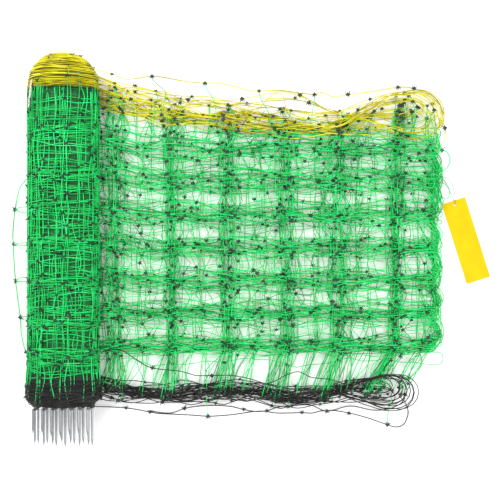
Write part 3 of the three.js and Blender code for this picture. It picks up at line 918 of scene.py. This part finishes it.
# Strands that lie free of the stack, where the photograph shows them: the pixels that each goes
# through, its height as (share of its length, millimetres), and which of its pixels are knots
TOP_STRANDS = [
    ([(97, 70), (112, 74), (126, 79), (138, 78), (152, 76), (165, 77.5), (178, 80), (191, 82), (205, 83),
      (218, 83), (232, 86), (247, 90), (259, 91), (272, 90.3), (285, 90.8), (300, 93), (314.5, 94.3),
      (322, 92.5), (334, 97), (348, 94.5), (372, 91.5), (398, 87), (414, 88.5), (428, 95), (438, 103),
      (443, 112), (444, 120), (441, 128)],
     [(0, 40), (0.1, 6), (0.9, 5), (1, 28)], (1, 4, 8, 12, 16, 19, 21, 22)),
    ([(97, 76), (115, 82), (135, 86), (150, 90), (170, 95), (192, 96.3), (208, 96.7), (226, 100), (242, 98.6),
      (259, 95.7), (270, 93.7), (282, 91.5), (297, 95), (312, 101), (326, 109)],
     [(0, 44), (0.2, 12), (0.9, 8), (1, 40)], (2, 5, 8)),
    ([(98, 80), (120, 88), (140, 91), (165, 97), (188, 99.8), (205, 100), (226, 101), (247, 103.2),
      (265, 101.3), (281, 100.3), (295, 99.8), (309, 102.6), (320, 107), (345, 113)],
     [(0, 44), (0.2, 18), (0.85, 12), (1, 42)], (4, 7, 11)),
    ([(250, 114), (257, 110), (263, 104.4), (272.6, 94.7), (278, 93.2), (282, 94.7), (284, 98.8),
      (285.5, 106), (290, 112)], [(0, 40), (0.4, 8), (1, 42)], ()),
    ([(262, 99), (286, 98.3), (295, 97.8), (300, 95.2), (311, 100.8), (325, 109.5), (338, 113)],
     [(0, 10), (0.8, 12), (1, 40)], (2, 3)),
    ([(96, 79), (115, 85.5), (135, 92), (150, 97), (165, 103), (182, 108)],
     [(0, 40), (0.4, 26), (1, 42)], (2,)),
    ([(330, 118), (352, 106), (370, 99), (390, 93.5), (404, 92), (420, 97), (432, 106), (438, 116),
      (440, 128)], [(0, 48), (0.5, 20), (1, 30)], (2, 4)),
    ([(360, 118), (378, 117), (395, 115), (412, 112), (430, 113), (440, 119), (445, 128), (444, 140),
      (438, 150)], [(0, 50), (0.7, 24), (1, 30)], (3, 6)),
]
BOTTOM_STRANDS = [
    ([(88, 406.5), (112, 407), (126, 408), (136, 409.3), (150, 412), (159, 413.5), (174, 414.2), (190, 415),
      (208, 416.2), (222, 415.5), (234, 414.4), (251, 411.9), (263, 411.2), (276, 413), (290, 413),
      (302, 412.7), (312, 413.1), (321, 411), (334, 410.6), (349, 413), (366.5, 417.5), (378, 421.5),
      (387.5, 424.7), (396.3, 427), (404, 424), (408, 414.6), (407.5, 408), (404.6, 401.4), (399, 396)],
     [(0, 16), (0.05, 3), (0.93, 3), (1, 40)], (2, 4, 8, 15, 19, 22)),
    ([(150, 411), (170, 413), (184.5, 408.5), (200, 406), (218, 405.5), (231, 406.5), (243.6, 409.4),
      (255, 411.5), (267, 410.6), (278, 407.3), (292, 405.7), (310, 405), (327, 411), (350, 406), (372, 410),
      (388, 409), (400, 404), (405, 398)], [(0, 3), (0.9, 8), (1, 36)], (2, 6, 8, 10, 12)),
    ([(101, 352.5), (108.4, 350), (116, 349.2), (123, 351), (132.8, 357.2), (145, 365.2), (152.4, 367.9),
      (162.7, 369.5), (175.7, 370.6), (185.6, 372.5), (197, 375.6), (211.6, 375.4), (230, 375.4),
      (246.5, 377.9), (263, 383), (280, 388)], [(0, 52), (0.5, 53), (1, 53)], (6, 11)),
    ([(262, 385), (275.5, 380.8), (284.6, 375.8), (297, 371.7), (304.5, 374.1), (312, 377.5), (330, 379.5),
      (345, 384)], [(0, 50), (0.5, 53), (1, 52)], ()),
]
FREE_STAYS = [
    ([(152, 76), (152.5, 79), (157, 84), (163, 89), (165.8, 93), (165.5, 98), (164, 103), (162, 112)],
     [(0, 5), (0.5, 8), (1, 48)], ()),
    ([(205.2, 83.5), (205.7, 86.5), (207.8, 91.1), (211.3, 95.7), (213.4, 100.3), (215.4, 106), (216.4, 117)],
     [(0, 5), (0.6, 20), (1, 52)], ()),
    ([(259, 92), (260.3, 97.8), (263, 103.4), (266.4, 108.5), (270.5, 118.7), (270, 128)],
     [(0, 5), (0.5, 22), (1, 54)], ()),
    ([(314.6, 95.7), (314.1, 103.9), (312.8, 109), (311.8, 118)], [(0, 5), (1, 52)], ()),
    ([(207.3, 415.5), (207, 406.5), (206.5, 396)], [(0, 4), (1, 50)], ()),
    ([(387.5, 424), (388, 413), (389.3, 406.3), (392, 398)], [(0, 4), (1, 44)], ()),
    ([(436, 152), (441.9, 150.3), (447, 152), (449.6, 156.6), (450, 161), (446.8, 168), (441, 171.5),
      (436, 172), (428, 172)], [(0, 30), (0.4, 3), (0.8, 8), (1, 30)], (1,)),
    ([(434, 176), (441, 177.5), (446, 183), (449.6, 191), (447, 199), (440, 196)],
     [(0, 26), (0.5, 5), (1, 20)], ()),
]
HANGING_STAY = [
    ([(30, 176), (24, 182), (19.2, 190), (14.9, 209.5), (12.7, 233.3), (13.2, 244.2), (13.8, 260.4),
      (15.4, 281), (17.6, 298.3), (20, 317.3), (21.4, 334), (25.7, 352), (32, 364)],
     [(0, 100), (0.12, 20), (0.25, 3), (0.8, 4), (0.92, 30), (1, 90)], (3, 5, 7, 9, 11)),
    ([(14.9, 209.5), (20, 207.4), (26, 207), (33, 206)], [(0, 4), (1, 60)], ()),
    ([(14.9, 209.5), (21, 212.2), (33, 213.5)], [(0, 4), (1, 60)], ()),
    ([(13.2, 244.2), (20, 243.2), (32, 242)], [(0, 4), (1, 60)], ()),
    ([(13.2, 244.2), (20, 245), (32, 245.6)], [(0, 4), (1, 60)], ()),
    ([(15.4, 281), (20.8, 277.7), (32, 277.7)], [(0, 4), (1, 60)], ()),
    ([(15.4, 281), (22, 281.6), (32, 281.5)], [(0, 4), (1, 60)], ()),
    ([(20, 317.3), (25, 316.6), (34, 316)], [(0, 4), (1, 60)], ()),
]


def free_strands(bundle, knots, strands):
    """The strands of one of the lists above, with their knots."""
    for pixels, heights, tied in strands:
        share = np.linspace(0, 1, len(pixels))
        shares, rises = zip(*heights)
        points = seen(pixels, np.interp(share, shares, rises))
        bundle.strand(smooth_path(points, 9))
        for k in tied:
            along = points[min(k + 1, len(points) - 1)] - points[k - 1]
            knots.tie(points[k], along, (0, 0, 1), 1.1)


# The cord that ties the roll, as two twisted plies over its outside
TIE_FROM, TIE_TO = (-92.0, 578.0), (-106.0, 486.0)
TIE_TURN_LENGTH = 16.0
TIE_PLY_RADIUS, TIE_TWIST_RADIUS, TIE_ABOVE_ROLL = 2.0, 2.2, 3.0


def roll_tie():
    """The tie's two plies, which twist round each other on the roll's upper left."""
    share = np.linspace(0, 1, 60)[:, None]
    flat = np.array(TIE_FROM) * (1 - share) + np.array(TIE_TO) * share
    theta = np.arccos(np.clip(flat[:, 0] / flank_radius(flat[:, 1]), -1, 1))
    middle = on_roll(theta, flat[:, 1], -TIE_ABOVE_ROLL)
    for phase in (0, np.pi):
        turn = 2 * np.pi * (TIE_FROM[1] - flat[:, 1]) / TIE_TURN_LENGTH + phase
        around = TIE_TWIST_RADIUS * np.stack([np.cos(turn), 0 * turn, np.sin(turn)], 1)
        roll_tie_cord.strand(middle + around, TIE_PLY_RADIUS, upright=(1, 0, 0))


wound_net()
wound_top()
wound_bottom()
folded_lines()
folded_edge(YELLOW, fold_yellow)
folded_edge(BLACK, fold_black)
folded_stays()
end_loops()
free_strands(fold_yellow, fold_knots_high, TOP_STRANDS)
free_strands(fold_black, fold_knots_high, BOTTOM_STRANDS)
free_strands(fold_stays, fold_knots_high, FREE_STAYS)
free_strands(roll_green, roll_knots, HANGING_STAY)
roll_tie()

# The cores under the outer turns, which lap over each other at the seams
CORE_LAP_TOP, CORE_LAP_BOTTOM = 8, 12
CORE_INSET, DOME_INSET, BUTT_INSET = 17.0, 8.0, 10.0

core_ends = (BOTTOM_SEAM_Y + CORE_LAP_BOTTOM, TOP_SEAM_Y - CORE_LAP_TOP)
core = loft("inner_turns", np.linspace(*core_ends, 40), CORE_INSET, core_green_painted_shade)
dome_rise = np.sin(np.linspace(0, 1, 14)[:-1] * np.pi / 2) ** 1.1
dome = loft("inner_top_turns", core_ends[1] + (DOME_LENGTH - 2) * dome_rise, DOME_INSET, core_yellow_painted_shade)
butt_body = np.concatenate([
    BUTT_Y - BUTT_LENGTH * 0.86 * np.sin(np.linspace(1, 0, 8) * np.pi / 2),
    np.linspace(BUTT_Y + 8, core_ends[0], 5),
])
butt = loft("inner_bottom_turns", butt_body, BUTT_INSET, core_black)

made_roll_green = roll_green.mesh("wound_green_net", green)
made_roll_yellow = roll_yellow.mesh("wound_top_line", yellow)
made_roll_black = roll_black.mesh("wound_bottom_line", black)
made_fold_low = fold_green_low.mesh("folded_lines_lower", green)
made_fold_high = fold_green_high.mesh("folded_lines_upper", green)
made_fold_stays = fold_stays.mesh("folded_stays", green)
made_fold_yellow = fold_yellow.mesh("folded_top_line", yellow)
made_fold_black = fold_black.mesh("folded_bottom_line", black)
made_tie = roll_tie_cord.mesh("roll_tie_cord", tie_white)
roll_knots.mesh("wound_knots")
fold_knots_low.mesh("folded_knots_lower")
fold_knots_high.mesh("folded_knots_upper")

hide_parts("netting_roll_field")
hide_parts("netting_roll_top")
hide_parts("netting_roll_bottom")
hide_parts("netting_fold_field")
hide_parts("netting_fold_top")
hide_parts("netting_fold_bottom")

# The CAD pieces that stay, and their materials by the starts of their names
KEPT_MATERIALS = {"post_": post_dark, "double_spike_": steel, "hang_tag": card}
for name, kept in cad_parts.items():
    for start, material in KEPT_MATERIALS.items():
        if name.startswith(start):
            for slot in kept.material_slots:
                slot.material = material

# Floor and light: the floor glows a little, so that its shadows are faint, as in the photograph
FLOOR_HALF = 6.0
FLOOR_GLOW = 0.2
floor_mesh = bpy.data.meshes.new("floor")
floor_corners = [(x * FLOOR_HALF, y * FLOOR_HALF, 0) for x, y in ((-1, -1), (1, -1), (1, 1), (-1, 1))]
floor_mesh.from_pydata(floor_corners, [], [(0, 1, 2, 3)])
floor = bpy.data.objects.new("floor", floor_mesh)
bpy.context.scene.collection.objects.link(floor)
floor_paint, floor_nodes, floor_links, floor_shader = node_tree("floor_white")
floor_shader.inputs["Base Color"].default_value = (0.93, 0.93, 0.93, 1)
floor_shader.inputs["Roughness"].default_value = 0.9
floor_shader.inputs["Emission Color"].default_value = (1, 1, 1, 1)
floor_shader.inputs["Emission Strength"].default_value = FLOOR_GLOW
floor_mesh.materials.append(floor_paint)


def area_light(name, location, size, power):
    """A round soft light that shines at the net's middle."""
    data = bpy.data.lights.new(name, "AREA")
    data.shape = "DISK"
    data.size = size
    data.energy = power
    light = bpy.data.objects.new(name, data)
    bpy.context.scene.collection.objects.link(light)
    light.location = location
    aim = Vector((0, 0, 0)) - Vector(location)
    light.rotation_euler = aim.to_track_quat("-Z", "Y").to_euler()


area_light("key", location=(-1.6, 1.8, 3.4), size=1.6, power=95)
area_light("fill", location=(2.2, -1.2, 3.0), size=2.4, power=50)

world = bpy.data.worlds.new("studio")
world.use_nodes = True
world.node_tree.nodes["Background"].inputs[0].default_value = (1, 1, 1, 1)
world.node_tree.nodes["Background"].inputs[1].default_value = 0.75
bpy.context.scene.world = world
bpy.context.scene.view_settings.view_transform = "Standard"
